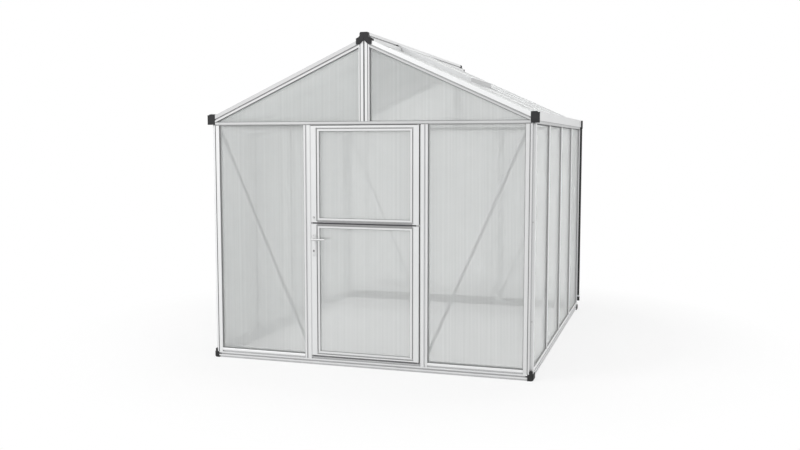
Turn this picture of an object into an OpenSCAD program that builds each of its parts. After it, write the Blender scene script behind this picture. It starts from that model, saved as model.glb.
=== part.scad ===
// Aluminium greenhouse with twin-wall panes, a split front door, side gutters
// with downpipes and one roof vent. The front faces -Y and the base stands on z = 0.

/* [House] */
// Width over the side walls
house_w = 2556; // [2200:2:3200]
// Depth from the front face to the back face
house_d = 2995; // [2000:5:6000]
// Height of the posts
eave_z = 1850; // [1700:5:2100]
// Slope of the roof in degrees
roof_pitch = 24.4; // [20:0.2:30]
// Number of bays along each side
bays = 4; // [3:1:8]
// Number of bays in front of the roof vent
bays_before_vent = 1; // [0:1:2]

/* [Frame profiles] */
// Depth of the frame profiles
frame_t = 45; // [40:1:60]
// Depth of the outer bead in front of the panes
bead_t = 10; // [8:0.5:14]
// Thickness of the panes
pane_t = 10; // [6:0.5:12]
// Overlap of the outer bead on a pane
bead_lap = 9; // [6:0.5:12]
// Overlap of the inner flange on a pane
flange_lap = 15; // [12:0.5:20]
// Width of the cap on a wall or roof bar
bar_cap_w = 26; // [22:1:40]
// Width of the web between two panes
bar_web_w = 8; // [6:0.5:10]
// Width of the inner body of a wall or roof bar
bar_body_w = 30; // [28:1:44]
// Depth of the grooves in the faces
groove_t = 8; // [2:0.5:8.5]
// Chamfer on the edges of the beads
bead_chamfer = 2.5; // [1:0.25:4]
// Play under a pane in its slot
pane_play = 1; // [0.5:0.25:2]
// Gap where sloped pieces lie on each other
slip = 0.1; // [0.05:0.05:0.3]

/* [Base and sill] */
// Height of the base frame
base_h = 48; // [40:1:80]
// Height of the recessed foot of the base frame
base_foot_h = 14; // [8:1:18]
// Height of the groove between the two ribs of the base frame
base_groove_h = 11; // [6:1:12]
// Height of the upper rib of the base frame
base_rib_h = 11; // [8:1:14]
// Depth of the recesses in the base frame
base_recess = 9; // [2:0.5:9.5]
// Length of the corner caps along the front
corner_cap_l = 37; // [30:1:45]
// Height of the corner caps in the notch of the posts, above the base
corner_cap_rise = 20; // [10:1:30]
// Rounding of the corner caps
corner_cap_r = 14; // [6:1:18]
// Length of the tongue that a corner cap puts into the base groove
tongue_l = 13; // [8:1:20]
// Play of that tongue in the groove
tongue_play = 2; // [1:0.5:3]
// Height of the sill up to the edge of its bead
sill_h = 30; // [26:1:40]
// Height of the sill's recessed foot
sill_foot_h = 13; // [8:1:16]

/* [Corner posts] */
// Width of the corner post's front face, from the notch to the pane
corner_face_w = 46; // [40:1:60]
// Width of the notch in the outer corner, along the front
notch_w = 23; // [15:1:30]
// Depth of the notch in the outer corner, along the side
notch_d = 30; // [20:1:40]
// Width of the rib beside the notch
corner_rib_w = 11; // [8:1:14]
// Width of the groove beside that rib
corner_groove_w = 7; // [4:1:9]

/* [Door posts] */
// Clear width between the two door posts
doorway_w = 876; // [700:2:1000]
// Width of the door post's face
door_post_face_w = 26; // [20:1:34]
// Width of the groove between face and bead
door_post_groove_w = 14; // [8:1:16]
// Width of the door post's bead
door_post_bead_w = 14; // [12:1:20]
// Depth of the groove between face and bead
door_post_groove_t = 9; // [3:0.5:9.5]

/* [Gable and roof] */
// Height of the tie rail's face
tie_h = 24; // [22:1:34]
// Height of the tie rail's inner flange over its face
tie_lip = 4; // [2:0.5:6]
// Height of the eave rails over the posts
eave_bead_h = 24; // [20:1:30]
// Overlap of the eave rail's inner flange on the panes
eave_lap = 12; // [8:0.5:16]
// Half width of the gable post over its beads
gable_post_half = 42; // [34:1:50]
// Width of each gable post bead
gable_bead_w = 9; // [8:1:14]
// Width of the dark middle groove of the gable post
gable_slot_w = 10; // [6:1:14]
// Width of the grooves beside the gable post's beads
gable_groove_w = 6; // [4:0.5:8]
// Height of the rafters' upper edge over the posts, beside the gutter
roof_seat = 80; // [76:1:100]
// Height of the rafter's upper band, measured upright
verge_band = 30; // [28:1:40]
// Height of the groove below that band
verge_groove = 11; // [6:1:16]
// Height of the rafter's lower bead
verge_bead = 15; // [12:1:20]
// Height of a bar's cap over the panes, measured upright
cap_up = 9; // [6:0.5:12]
// Height of a bar's body below the panes, measured upright
bar_body_h = 38; // [30:1:45]
// Height of the ridge over the meeting point of the rafters
ridge_rise = 36; // [30:1:50]
// Width of the flat top of the ridge
ridge_top_w = 54; // [40:1:70]
// Half width of the ridge between the roof panes
ridge_core = 38; // [32:1:44]
// Half width of the open channel under the ridge
ridge_channel = 26; // [18:1:30]
// Height of the ridge's solid crown over that channel
ridge_crown = 48; // [40:1:56]
// Half width of the ridge at the foot of its steep flanks
ridge_neck = 31; // [28:1:36]
// Height of the steep flanks of the ridge
ridge_flank = 33; // [26:1:36]
// Height of the hinge slots at the foot of the flanks
ridge_slot_h = 11; // [6:1:14]
// Depth of the hinge slots
ridge_slot_t = 10; // [4:1:12]
// Height of the ridge over the edge of its flanges
ridge_drop = 46; // [38:1:50]
// Half width of the ridge over its flanges
ridge_half = 62; // [55:1:75]
// Play at the upper edge of a roof pane and the lower corner of a gable pane
edge_play = 2; // [1:0.5:4]
// How far the roof panes reach over the gutters
pane_over_gutter = 15; // [8:1:17]
// How far the bar caps reach over the gutters
cap_over_gutter = 13; // [6:1:15]
// Thickness of the black end caps
end_cap_t = 6; // [4:0.5:10]
// How far the front end caps stand proud of the front face
end_cap_proud = 2; // [1:0.5:4]

/* [Gutters] */
// Width of the gutters
gutter_w = 41; // [36:1:60]
// Height of the gutters
gutter_h = 67; // [60:1:90]
// Height of the gutter's inner wall
gutter_inner_h = 19; // [12:1:22]
// Thickness of the gutter's walls
gutter_t = 3; // [2:0.5:5]
// Width of the lip on the gutter's outer wall
gutter_lip = 9; // [6:0.5:14]
// Width of the gutter's front end caps
cap_w = 63; // [50:1:80]
// Height of the front end caps over the posts
cap_rise = 6; // [0:1:12]
// Height of the front end caps
cap_h = 78; // [60:1:90]
// Height of the step on the front end caps
cap_step_h = 3; // [1:0.5:6]
// Distance of that step from the outer side
cap_step_x = 13; // [8:1:20]
// Run of the slope beside that step
cap_step_run = 4; // [2:0.5:6]
// How far the gutters stand out over the side walls
gutter_out = 6; // [2:1:12]
// Length of the outlet boxes behind the back face
outlet_l = 36; // [34:1:50]
// How far the outlet boxes reach out past the downpipes
outlet_side = 2; // [1.5:0.5:6]
// Distance of the downpipes' middle line from the side walls
pipe_side = 5; // [0:1:8]
// Diameter of the downpipes
pipe_d = 24; // [20:1:24]
// Height of the mouth of the downpipes over the ground
pipe_mouth_z = 84; // [60:1:120]
// Length of the wider outlet shoe
shoe_l = 42; // [30:1:60]
// Diameter of the outlet shoe
shoe_d = 31; // [28:1:31]
// Gap between a downpipe and the back face of the house
pipe_stand = 4; // [3.5:0.5:8]
// Wall of the downpipes
pipe_wall = 1.5; // [1:0.25:2]
// Height of the pipe clips
clip_h = 15; // [10:1:20]
// Thickness of the pipe clips
clip_t = 2.5; // [1.5:0.25:3]
// Radial gap between pipe and clip
clip_gap = 0.3; // [0.3:0.05:0.5]

/* [Roof vent] */
// Length of the vent down the slope, measured level
vent_run = 585; // [400:5:700]
// Height of the vent frame over the roof bars, measured upright
vent_h = 34; // [30:1:45]
// Width of the vent's frame members
vent_member = 28; // [20:1:40]
// Depth of the vent's pane below the top of its frame, measured upright
vent_sink = 8; // [4:0.5:12]
// Gap between the vent's frame and the ridge
vent_gap = 1; // [0.5:0.25:3]
// Overlap of the vent's curb on the pane below it
curb_lap = 10; // [6:0.5:14]

/* [Door] */
// Gap between the latch side of the leaves and the post
latch_gap = 6; // [5.5:0.5:10]
// Gap between the hinge side of the leaves and the post
hinge_gap = 13; // [10:0.5:16]
// Thickness of the leaves
leaf_t = 32; // [30:1:40]
// Height of the lower leaf's bottom edge
leaf_z0 = 75; // [74:1:90]
// Height of the middle of the split between the leaves
split_z = 1104; // [900:2:1200]
// Height of the split between the leaves
split_h = 12; // [10:1:16]
// Gap between the upper leaf and the tie rail
head_gap = 6; // [5:0.5:10]
// Width of the stile's flat face
stile_face = 42; // [36:1:50]
// Width of the groove in stiles and rails
leaf_groove = 10; // [7:0.5:12]
// Width of the bead of stiles and rails
leaf_bead = 14; // [11:0.5:18]
// Face height of the upper leaf's top rail
upper_top_face = 16; // [12:1:30]
// Face height of the upper leaf's bottom rail
upper_bottom_face = 8; // [7:1:30]
// Face height of the lower leaf's top rail
lower_top_face = 7; // [7:1:30]
// Face height of the lower leaf's bottom rail
lower_bottom_face = 10; // [8:1:30]
// Distance of the hinge axis from the leaf's edge and front face
pivot_inset = 9; // [8:0.5:10]
// Diameter of the hinge pins
pivot_d = 8; // [6:0.5:8]
// Length of a hinge pin inside its leaf
pivot_l = 20; // [14:1:30]
// Radial clearance of pins and spindle
running_gap = 0.05; // [0.02:0.01:0.1]

/* [Lock] */
// Distance of the lock's middle line from the leaf's edge
lock_inset = 21; // [18:0.5:24]
// Height of the lever
lever_z = 980; // [900:1:1050]
// Distance from lever to key cylinder
key_drop = 90; // [72:1:100]
// Length of the lever
lever_l = 105; // [80:1:130]
// Diameter of the lever
lever_d = 14; // [10:1:18]
// Distance of the lever's middle line from the leaf
lever_off = 46; // [40:1:60]
// Width of the lock plates
plate_w = 26; // [22:1:34]
// Height of the lock plates
plate_h = 166; // [150:1:220]
// Thickness of the lock plates
plate_t = 2.5; // [1.5:0.5:4]
// Diameter of the lever's spindle
spindle_d = 8; // [7:0.5:9]
// Diameter of the rose at the foot of the lever
rose_d = 18; // [16:1:24]
// Thickness of that rose
rose_t = 6; // [4:0.5:8]
// Gap between rose and lock plate
rose_gap = 0.5; // [0.3:0.1:1]
// Diameter of the key cylinder's round part
key_d = 17; // [16:0.5:18]
// Width of the key cylinder's narrow part
key_foot_w = 10; // [9:0.5:11]
// Length of the key cylinder below its middle
key_foot_l = 24; // [20:1:28]
// How far the key cylinder stands out of the lock plates
key_proud = 2; // [1:0.5:4]
// Gap round the key cylinder
key_gap = 0.3; // [0.3:0.05:0.5]
// Width of the key slot
key_slot_w = 2.5; // [2:0.25:3.5]
// Height of the key slot
key_slot_h = 10; // [8:0.5:12]
// Depth of the key slot
key_slot_t = 6; // [4:0.5:10]
// Height of the bolt that couples the leaves, over the upper leaf's edge
coupler_rise = 37; // [30:1:60]
// Diameter of the coupler's foot
coupler_foot_d = 16; // [12:1:20]
// Thickness of the coupler's foot
coupler_foot_t = 2; // [1:0.5:4]
// Diameter of the coupler's knob
coupler_d = 10; // [8:1:14]
// Length of the coupler's knob
coupler_l = 11; // [8:1:16]

/* [Braces] */
// Width of the diagonal braces
brace_w = 22; // [16:1:30]
// Thickness of the diagonal braces
brace_t = 3; // [2:0.5:5]

/* [Hidden] */
$fn = 48;
half = house_w/2;
pane_v0 = bead_t;
pane_v1 = bead_t + pane_t;
// Overlap of two outlines that form one piece
weld = 2;

// Corner post, measured inwards from the side plane or the front plane
corner_bead = notch_w + corner_face_w;
corner_slot = corner_bead - bead_lap;
corner_flange = corner_slot + flange_lap;

// Door posts, measured from the middle of the house
jamb = doorway_w/2;
door_bead = jamb + door_post_face_w + door_post_groove_w + door_post_bead_w;
door_slot = door_bead - bead_lap;
door_flange = door_slot + flange_lap;

// Levels of the sill and the upper rails
sill_z = base_h + sill_h;
pane_seat_z = sill_z - bead_lap - pane_play;
sill_flange_z = pane_seat_z + flange_lap;
tie_z = eave_z + tie_h;
pane_head_z = eave_z + tie_h/3;
gable_seat_z = eave_z + tie_h*2/3;
tie_flange_z = tie_z + tie_lip;
gutter_z = eave_z + eave_bead_h;
eave_slot_z = eave_z + bead_lap - pane_play;
eave_flange_z = eave_slot_z - eave_lap;

// Gutter and roof lines
gut_out = half + gutter_out;
gut_in = gut_out - gutter_w;
pitch_rise = tan(roof_pitch);
function roof_z(x) = eave_z + roof_seat + pitch_rise*(gut_in - abs(x));
function roof_at(x, t) = [x, roof_z(x) - t];
pane_up = pane_t/cos(roof_pitch);
roof_pane_low = cap_up + pane_up;
body_low = roof_pane_low + bar_body_h;
ridge_z = roof_z(0) + ridge_rise;
roof_pane_x0 = ridge_core + edge_play;
roof_pane_x1 = gut_in + pane_over_gutter;
bar_cap_x1 = gut_in + cap_over_gutter;
flange_fall = (ridge_drop - ridge_flank)/(ridge_half - ridge_neck);
function flange_z(x) = ridge_z - ridge_flank - flange_fall*(x - ridge_neck);
verge_low = verge_band + verge_groove + verge_bead;
verge_slot = verge_low - bead_lap;
verge_flange = verge_slot + flange_lap;
gable_slot = gable_post_half - bead_lap;
gable_flange = gable_slot + flange_lap;

// Bays of the side walls and the roof
bay = house_d/bays;
bar_ys = [for (i = [1:bays-1]) i*bay];
roof_edges = [for (i = [0:bays])
    i == 0 ? [pane_v1, pane_v1] :
    i == bays ? [house_d - pane_v1, house_d - pane_v1] :
    [i*bay + bar_web_w/2, i*bay - bar_web_w/2]];

// Vent
vent_bay = [bays_before_vent*bay, (bays_before_vent + 1)*bay];
vent_y0 = vent_bay[0] - bar_cap_w/2;
vent_y1 = vent_bay[1] + bar_cap_w/2;
vent_x0 = ridge_half + vent_gap;
vent_x1 = vent_x0 + vent_run;
vent_rail_x0 = ridge_neck + vent_gap;
curb_x0 = vent_x1 - vent_member;
curb_slot = vent_x1 - curb_lap;

// Door
leaf_x0 = -jamb + latch_gap;
leaf_x1 = jamb - hinge_gap;
lower_z1 = split_z - split_h/2;
upper_z0 = split_z + split_h/2;
upper_z1 = eave_z - head_gap;
threshold_z = leaf_z0 - head_gap;
pivot_x = leaf_x1 - pivot_inset;
pivot_y = pivot_inset;
lock_x = leaf_x0 + lock_inset;
key_z = lever_z - key_drop;
lever_reach = lever_off + lever_d/2;

// Downpipes
pipe_x = half + pipe_side;
pipe_y = house_d + pipe_d/2 + pipe_stand;
pipe_bore = pipe_d - 2*pipe_wall;
shoe_z1 = pipe_mouth_z + shoe_l;
outlet_out = pipe_x + pipe_d/2 + outlet_side;

// Middle of the whole object from front to back
back_reach = house_d + outlet_l;
mid_y = (back_reach - lever_reach)/2;

alu = [0.90, 0.91, 0.91];
clear = [0.80, 0.82, 0.82, 0.6];
black = [0.16, 0.16, 0.17];
steel = [0.78, 0.79, 0.80];

// Placing

module centred() translate([0, -mid_y, 0]) children();

module both_sides() {
    children();
    mirror([1, 0, 0]) children();
}

module at_back() translate([0, house_d, 0]) mirror([0, 1, 0]) children();

// Turns a wall drawn along x, with its depth along y, into the right side wall
module right_wall() translate([half, 0, 0]) rotate([0, 0, 90]) children();

// Extrusions of outlines

module along_x(x0, x1) translate([x0, 0, 0]) rotate([90, 0, 90]) linear_extrude(x1 - x0) children();

module along_y(y0, y1) translate([0, y1, 0]) rotate([90, 0, 0]) linear_extrude(y1 - y0) children();

module along_z(z0, z1) translate([0, 0, z0]) linear_extrude(z1 - z0) children();

module block(x, y, z) translate([x[0], y[0], z[0]]) cube([x[1] - x[0], y[1] - y[0], z[1] - z[0]]);

// A band that follows the right roof slope, between two depths below the roof line
module slope_outline(x0, x1, t0, t1) polygon([
    roof_at(x0, t0), roof_at(x1, t0), roof_at(x1, t1), roof_at(x0, t1)]);

module slope(x, t, y) along_y(y[0], y[1]) slope_outline(x[0], x[1], t[0], t[1]);

// A bead with chamfered edges, w wide and bead_t deep, its face on y = 0
module bead_outline(x0, x1) polygon([
    [x0 + bead_chamfer, 0], [x1 - bead_chamfer, 0], [x1, bead_chamfer],
    [x1, bead_t], [x0, bead_t], [x0, bead_chamfer]]);

// Base frame

module base_outline() polygon([
    [base_recess, 0], [frame_t, 0], [frame_t, base_h], [0, base_h],
    [0, base_h - base_rib_h], [base_recess, base_h - base_rib_h],
    [base_recess, base_h - base_rib_h - base_groove_h], [0, base_h - base_rib_h - base_groove_h],
    [0, base_foot_h], [base_recess, base_foot_h]]);

module base_run(l0, l1) along_x(l0, l1) base_outline();

module base_ends() color(alu) centred() {
    base_run(corner_cap_l - half, half - corner_cap_l);
    at_back() base_run(corner_cap_l - half, half - corner_cap_l);
}

module base_sides() color(alu) centred() both_sides() right_wall() base_run(frame_t, house_d - frame_t);

module rounded_corner(w, d) difference() {
    translate([half - w, 0]) square([w, d]);
    translate([half - corner_cap_r, 0]) difference() {
        translate([0, -1]) square([corner_cap_r + 1, corner_cap_r + 1]);
        translate([0, corner_cap_r]) circle(corner_cap_r);
    }
}

module corner_cap() {
    groove_z = base_h - base_rib_h - base_groove_h;
    along_z(0, base_h) rounded_corner(corner_cap_l, frame_t);
    along_z(base_h, base_h + corner_cap_rise) rounded_corner(notch_w, notch_d);
    block([half - corner_cap_l - tongue_l, half - corner_cap_l], [tongue_play/2, base_recess],
        [groove_z + tongue_play, groove_z + base_groove_h - tongue_play]);
}

module base_corner_caps() color(black) centred() both_sides() {
    corner_cap();
    at_back() corner_cap();
}

// Posts

module corner_post_outline() difference() {
    translate([half, 0]) mirror([1, 0]) polygon([
        [notch_w, bead_chamfer], [notch_w + bead_chamfer, 0], [corner_bead - bead_chamfer, 0],
        [corner_bead, bead_chamfer], [corner_bead, pane_v0], [corner_slot, pane_v0],
        [corner_slot, pane_v1], [corner_flange, pane_v1], [corner_flange, frame_t],
        [frame_t, frame_t], [frame_t, corner_flange], [pane_v1, corner_flange],
        [pane_v1, corner_slot], [pane_v0, corner_slot], [pane_v0, corner_bead],
        [bead_chamfer, corner_bead], [0, corner_bead - bead_chamfer],
        [0, notch_d + bead_chamfer], [bead_chamfer, notch_d], [notch_w, notch_d]]);
    translate([half - notch_w - corner_rib_w - corner_groove_w, -1]) square([corner_groove_w, groove_t + 1]);
}

module corner_post() {
    along_z(base_h, eave_z) corner_post_outline();
    block([gut_in, half - notch_w], [end_cap_t, notch_d], [eave_z, gutter_z]);
}

module corner_posts() color(alu) centred() both_sides() {
    corner_post();
    at_back() corner_post();
}

module door_post_outline() difference() {
    polygon([
        [jamb, bead_chamfer], [jamb + bead_chamfer, 0], [door_bead - bead_chamfer, 0],
        [door_bead, bead_chamfer], [door_bead, pane_v0], [door_slot, pane_v0],
        [door_slot, pane_v1], [door_flange, pane_v1], [door_flange, frame_t], [jamb, frame_t]]);
    translate([jamb + door_post_face_w, -1]) square([door_post_groove_w, door_post_groove_t + 1]);
}

module door_posts() color(alu) centred() both_sides() along_z(base_h, eave_z) door_post_outline();

module mullion_outline() {
    inner_slot = jamb + bead_lap;
    inner_flange = inner_slot - flange_lap;
    difference() {
        polygon([
            [jamb, bead_chamfer], [jamb + bead_chamfer, 0], [door_bead - bead_chamfer, 0],
            [door_bead, bead_chamfer], [door_bead, pane_v0], [door_slot, pane_v0],
            [door_slot, pane_v1], [door_flange, pane_v1], [door_flange, frame_t],
            [inner_flange, frame_t], [inner_flange, pane_v1], [inner_slot, pane_v1],
            [inner_slot, pane_v0], [jamb, pane_v0]]);
        translate([(jamb + door_bead - door_post_groove_w)/2, -1])
            square([door_post_groove_w, groove_t + 1]);
    }
}

module back_mullions() color(alu) centred() both_sides() at_back() along_z(base_h, eave_z) mullion_outline();

// Bars of the side walls: cap, web and inner body

module wall_bar() {
    along_z(sill_z, eave_z) bead_outline(-bar_cap_w/2, bar_cap_w/2);
    block([-bar_web_w/2, bar_web_w/2], [pane_v0, pane_v1], [pane_seat_z, eave_slot_z]);
    block([-bar_body_w/2, bar_body_w/2], [pane_v1, frame_t], [sill_flange_z, eave_flange_z]);
}

module wall_bars() right_wall() for (y = bar_ys) translate([y, 0, 0]) wall_bar();

module left_wall_bars() color(alu) centred() mirror([1, 0, 0]) wall_bars();

module right_wall_bars() color(alu) centred() wall_bars();

// Sills and upper rails. p0 and p1 are the bottoms of the pane slots beside them.

module sill(p0, p1) {
    along_x(p0 + bead_lap, p1 - bead_lap) polygon([
        [bead_t, base_h], [bead_t, sill_z], [bead_chamfer, sill_z], [0, sill_z - bead_chamfer],
        [0, base_h + sill_foot_h], [base_recess, base_h + sill_foot_h], [base_recess, base_h]]);
    block([p0, p1], [pane_v0, pane_v1], [base_h, pane_seat_z]);
    block([p0 + flange_lap, p1 - flange_lap], [pane_v1, frame_t], [base_h, sill_flange_z]);
}

module end_sills() color(alu) centred() {
    both_sides() {
        sill(door_slot, half - corner_slot);
        at_back() sill(door_slot, half - corner_slot);
    }
    at_back() sill(-jamb - bead_lap, jamb + bead_lap);
}

module side_sills() color(alu) centred() both_sides() right_wall() sill(corner_slot, house_d - corner_slot);

module threshold() color(alu) centred() along_x(-jamb, jamb) polygon([
    [base_recess, base_h], [frame_t, base_h], [frame_t, threshold_z], [bead_chamfer, threshold_z],
    [0, threshold_z - bead_chamfer], [0, base_h + sill_foot_h], [base_recess, base_h + sill_foot_h]]);

module eave_rail() {
    along_x(notch_d, house_d - notch_d) polygon([
        [0, eave_z + bead_chamfer], [bead_chamfer, eave_z], [bead_t, eave_z],
        [bead_t, gutter_z], [0, gutter_z]]);
    block([notch_d, house_d - notch_d], [pane_v0, pane_v1], [eave_slot_z, gutter_z]);
    block([corner_flange, house_d - corner_flange], [pane_v1, frame_t],
        [eave_flange_z, gutter_z - tie_lip]);
}

module eave_rails() color(alu) centred() both_sides() right_wall() eave_rail();

module tie_rail() {
    rib = tie_h/4;
    along_x(-gut_in, gut_in) polygon([
        [groove_t, eave_z], [bead_t, eave_z], [bead_t, tie_z], [bead_chamfer, tie_z],
        [0, tie_z - bead_chamfer], [0, eave_z + rib], [groove_t, eave_z + rib]]);
    block([-gut_in, gut_in], [pane_v0, pane_v1], [pane_head_z, gable_seat_z]);
    block([-gut_in, gut_in], [pane_v1, frame_t], [eave_z, tie_flange_z]);
}

module tie_rails() color(alu) centred() {
    tie_rail();
    at_back() tie_rail();
}

// Gable rafters: a band over the roof panes, a groove, and a bead over the gable panes

module rafter_outline() polygon([
    roof_at(gable_post_half, cap_up + slip), roof_at(ridge_half, cap_up + slip), roof_at(ridge_half, 0),
    roof_at(gut_in, 0), roof_at(gut_in, verge_slot), roof_at(gable_post_half, verge_slot)]);

module rafter() {
    difference() {
        along_y(0, pane_v1) rafter_outline();
        slope([0, gut_out], [verge_band, verge_band + verge_groove], [-1, groove_t]);
    }
    slope([gable_post_half, gut_in], [verge_slot - weld, verge_low], [0, bead_t]);
    slope([ridge_half, gut_in], [0, cap_up], [pane_v1 - weld, frame_t]);
    slope([gable_flange, gut_in], [roof_pane_low + weld, verge_slot - weld],
        [pane_v1 - weld, pane_v1 + weld]);
    along_y(pane_v1, frame_t) intersection() {
        slope_outline(gable_flange, gut_in, roof_pane_low, verge_flange);
        translate([0, tie_flange_z]) square([gut_in, ridge_z]);
    }
}

module gable_rafters() color(alu) centred() both_sides() {
    rafter();
    at_back() rafter();
}

// Gable posts stand on the tie rails and end under the ridge

module under_ridge(w, z0, t) polygon([
    [-w, z0], [w, z0], roof_at(w, t), roof_at(0, t), roof_at(-w, t)]);

module gable_post() {
    side_groove = gable_post_half - gable_bead_w;
    difference() {
        along_y(0, bead_t) under_ridge(gable_post_half, tie_z, cap_up + slip);
        block([-gable_slot_w/2, gable_slot_w/2], [-1, bead_t - 1], [0, ridge_z]);
        both_sides() block([side_groove - gable_groove_w, side_groove], [-1, groove_t], [0, ridge_z]);
    }
    along_y(pane_v0, pane_v1) under_ridge(gable_slot, gable_seat_z, cap_up + slip);
    along_y(pane_v1, frame_t) under_ridge(gable_flange, tie_flange_z, roof_pane_low);
}

module gable_posts() color(alu) centred() {
    gable_post();
    at_back() gable_post();
}

// Roof bars and ridge

module roof_bar(x0) {
    slope([x0, bar_cap_x1], [0, cap_up], [-bar_cap_w/2, bar_cap_w/2]);
    slope([x0, bar_cap_x1], [cap_up, roof_pane_low], [-bar_web_w/2, bar_web_w/2]);
    slope([x0, gut_in], [roof_pane_low, body_low], [-bar_body_w/2, bar_body_w/2]);
}

module roof_bars() for (y = bar_ys) translate([0, y, 0]) roof_bar(ridge_half);

module left_roof_bars() color(alu) centred() mirror([1, 0, 0]) roof_bars();

module right_roof_bars() color(alu) centred() roof_bars();

module ridge_top_outline() {
    right = [[ridge_top_w/2, ridge_z], [ridge_neck, ridge_z - ridge_flank],
        [ridge_half, ridge_z - ridge_drop], roof_at(ridge_half, cap_up)];
    left = [for (i = [3:-1:0]) [-right[i][0], right[i][1]]];
    polygon(concat(right, [roof_at(0, cap_up)], left));
}

module ridge_body_outline() {
    low = roof_at(ridge_half, body_low);
    right = [roof_at(ridge_core, cap_up - weld), roof_at(ridge_core, roof_pane_low),
        roof_at(ridge_half, roof_pane_low), low, [ridge_channel, low[1]],
        [ridge_channel, ridge_z - ridge_crown]];
    left = [for (i = [5:-1:0]) [-right[i][0], right[i][1]]];
    polygon(concat([roof_at(0, cap_up - weld)], right, left));
}

module ridge() color(alu) centred() {
    slot_z = ridge_z - ridge_flank;
    difference() {
        along_y(frame_t, house_d - frame_t) ridge_top_outline();
        both_sides() block([ridge_neck - ridge_slot_t, ridge_half], [0, house_d],
            [slot_z, slot_z + ridge_slot_h]);
    }
    along_y(frame_t, house_d - frame_t) ridge_body_outline();
}

module ridge_caps() color(black) centred() {
    along_y(-end_cap_proud, frame_t) ridge_top_outline();
    at_back() along_y(-end_cap_proud, frame_t) ridge_top_outline();
}

// Gutters and downpipes

module gutter_outline() {
    z1 = gutter_z + gutter_h;
    polygon([
        [gut_in, gutter_z], [gut_out, gutter_z], [gut_out, z1], [gut_out - gutter_lip, z1],
        [gut_out - gutter_lip, z1 - gutter_t], [gut_out - gutter_t, z1 - gutter_t],
        [gut_out - gutter_t, gutter_z + gutter_t], [gut_in + gutter_t, gutter_z + gutter_t],
        [gut_in + gutter_t, gutter_z + gutter_inner_h], [gut_in, gutter_z + gutter_inner_h]]);
}

module gutter() along_y(end_cap_t, house_d) gutter_outline();

module left_gutter() color(alu) centred() mirror([1, 0, 0]) gutter();

module right_gutter() color(alu) centred() gutter();

module gutter_cap() {
    low = eave_z + cap_rise;
    top = low + cap_h;
    out = gut_in + cap_w;
    slant = out - cap_step_x - cap_step_run;
    along_y(-end_cap_proud, end_cap_t) polygon([
        [gut_in, low], [out, low], [out, top - cap_step_h],
        [out - cap_step_x, top - cap_step_h], [slant, top + cap_step_h],
        [gut_in + cap_step_h, top + cap_step_h], [gut_in, top]]);
}

module gutter_caps() color(black) centred() both_sides() gutter_cap();

// An open box behind each gutter that leads the water into the downpipe
module gutter_outlet() {
    wet = [gut_in + gutter_t, outlet_out - gutter_t];
    back = house_d + outlet_l;
    top = gutter_z + gutter_h;
    difference() {
        block([gut_in, outlet_out], [house_d, back], [gutter_z, top]);
        block(wet, [house_d + gutter_t, back - gutter_t], [gutter_z + gutter_t, top + 1]);
        block([wet[0], gut_out - gutter_t], [house_d - 1, house_d + outlet_l/2],
            [gutter_z + gutter_t, top + 1]);
        translate([pipe_x, pipe_y, gutter_z - 1]) cylinder(d = pipe_bore, h = gutter_t + 2);
    }
}

module gutter_outlets() color(black) centred() both_sides() gutter_outlet();

module downpipe() translate([pipe_x, pipe_y, 0]) difference() {
    union() {
        translate([0, 0, pipe_mouth_z]) cylinder(d = pipe_d, h = gutter_z - pipe_mouth_z);
        translate([0, 0, pipe_mouth_z]) cylinder(d = shoe_d, h = shoe_l);
        translate([0, 0, gutter_z - clip_h]) cylinder(d = shoe_d, h = clip_h);
    }
    translate([0, 0, pipe_mouth_z - 1]) cylinder(d = pipe_bore, h = gutter_z - pipe_mouth_z + 2);
}

module downpipes() color(black) centred() both_sides() downpipe();

// A strap round the pipe, on a foot against the back corner post
module pipe_clip() translate([0, 0, shoe_z1]) difference() {
    union() {
        translate([pipe_x, pipe_y, 0]) cylinder(d = pipe_d + 2*clip_t, h = clip_h);
        block([half - notch_w - clip_h, pipe_x], [house_d, house_d + clip_t], [0, clip_h]);
    }
    translate([pipe_x, pipe_y, -1]) cylinder(d = pipe_d + 2*clip_gap, h = clip_h + 2);
}

module pipe_clips() color(alu) centred() both_sides() pipe_clip();

// Panes

module wall_pane(p0, p1, z1) block([p0, p1], [pane_v0, pane_v1], [pane_seat_z, z1]);

module front_wall_panes() color(clear) centred() both_sides()
    wall_pane(door_slot, half - corner_slot, pane_head_z);

module back_wall_panes() color(clear) centred() at_back() {
    both_sides() wall_pane(door_slot, half - corner_slot, pane_head_z);
    wall_pane(-jamb - bead_lap, jamb + bead_lap, pane_head_z);
}

module side_panes() right_wall() for (i = [0:bays-1]) {
    y0 = i == 0 ? corner_slot : i*bay + bar_web_w/2;
    y1 = i == bays - 1 ? house_d - corner_slot : (i + 1)*bay - bar_web_w/2;
    wall_pane(y0, y1, eave_slot_z);
}

module left_wall_panes() color(clear) centred() mirror([1, 0, 0]) side_panes();

module right_wall_panes() color(clear) centred() side_panes();

module gable_pane() {
    x1 = gut_in - edge_play;
    along_y(pane_v0, pane_v1) polygon([
        [gable_slot, gable_seat_z], [x1, gable_seat_z],
        roof_at(x1, verge_slot + slip), roof_at(gable_slot, verge_slot + slip)]);
}

module gable_panes() color(clear) centred() both_sides() {
    gable_pane();
    at_back() gable_pane();
}

module roof_pane(i, x0)
    slope([x0, roof_pane_x1], [cap_up + slip, roof_pane_low - slip],
        [roof_edges[i][0], roof_edges[i+1][1]]);

module left_roof_panes() color(clear) centred() mirror([1, 0, 0])
    for (i = [0:bays-1]) roof_pane(i, roof_pane_x0);

module right_roof_panes() color(clear) centred()
    for (i = [0:bays-1]) roof_pane(i, i == bays_before_vent ? curb_slot : roof_pane_x0);

// Roof vent: a curb between two bars carries the lower rail of the raised frame

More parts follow.
